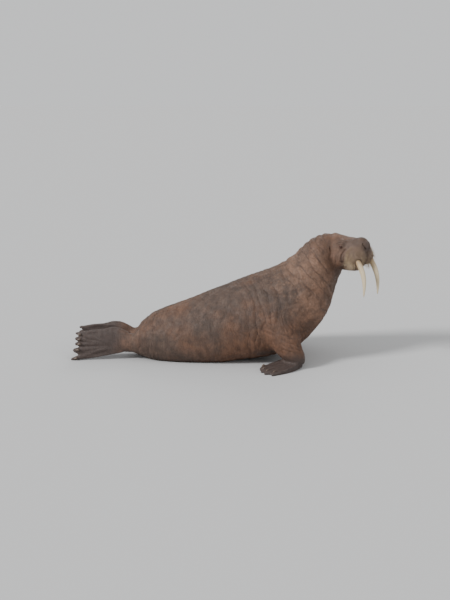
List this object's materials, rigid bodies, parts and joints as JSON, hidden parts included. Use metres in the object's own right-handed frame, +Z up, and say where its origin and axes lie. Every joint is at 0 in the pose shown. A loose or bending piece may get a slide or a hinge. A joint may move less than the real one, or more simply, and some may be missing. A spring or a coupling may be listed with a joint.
{
  "type": "walrus figure",
  "caption": "Life-size bull walrus lying on its belly, propped on its fore flippers, head raised and turned, with long downward tusks, a bristled muzzle and hind flippers held on edge.",
  "frame": {"origin": "on the floor under the middle of the whole animal's bounding box", "axes": "+X from the tail to the head along the body, +Y to the animal's left, +Z up"},
  "size_m": [3.6894, 1.7006, 1.5267],
  "materials": {
    "skin": "matt creased hide with a sparse short coat",
    "flipper_skin": "bare dark wrinkled hide",
    "eye": "wet and glossy",
    "ivory": "worn satin ivory with fine lengthwise grain",
    "claw": "satin horn"
  },
  "bodies": {
    "root": {"head": "skin", "muzzle": "skin", "lower_jaw": "skin", "neck": "skin", "chest": "skin", "trunk": "skin", "rump": "skin", "tail": "flipper_skin", "fore_arm_right": "skin", "fore_arm_left": "skin", "fore_hand_right": "flipper_skin", "fore_hand_left": "flipper_skin", "hind_leg_right": "skin", "hind_leg_left": "skin", "hind_foot_right": "flipper_skin", "hind_foot_left": "flipper_skin", "eye_right": "eye", "eye_left": "eye", "tusk_right": "ivory", "tusk_left": "ivory", "fore_claw_right_1": "claw", "fore_claw_right_2": "claw", "fore_claw_right_3": "claw", "fore_claw_right_4": "claw", "fore_claw_right_5": "claw", "fore_claw_left_1": "claw", "fore_claw_left_2": "claw", "fore_claw_left_3": "claw", "fore_claw_left_4": "claw", "fore_claw_left_5": "claw", "hind_claw_right_1": "claw", "hind_claw_right_2": "claw", "hind_claw_right_3": "claw", "hind_claw_right_4": "claw", "hind_claw_right_5": "claw", "hind_claw_left_1": "claw", "hind_claw_left_2": "claw", "hind_claw_left_3": "claw", "hind_claw_left_4": "claw", "hind_claw_left_5": "claw"}
  },
  "joints": []
}
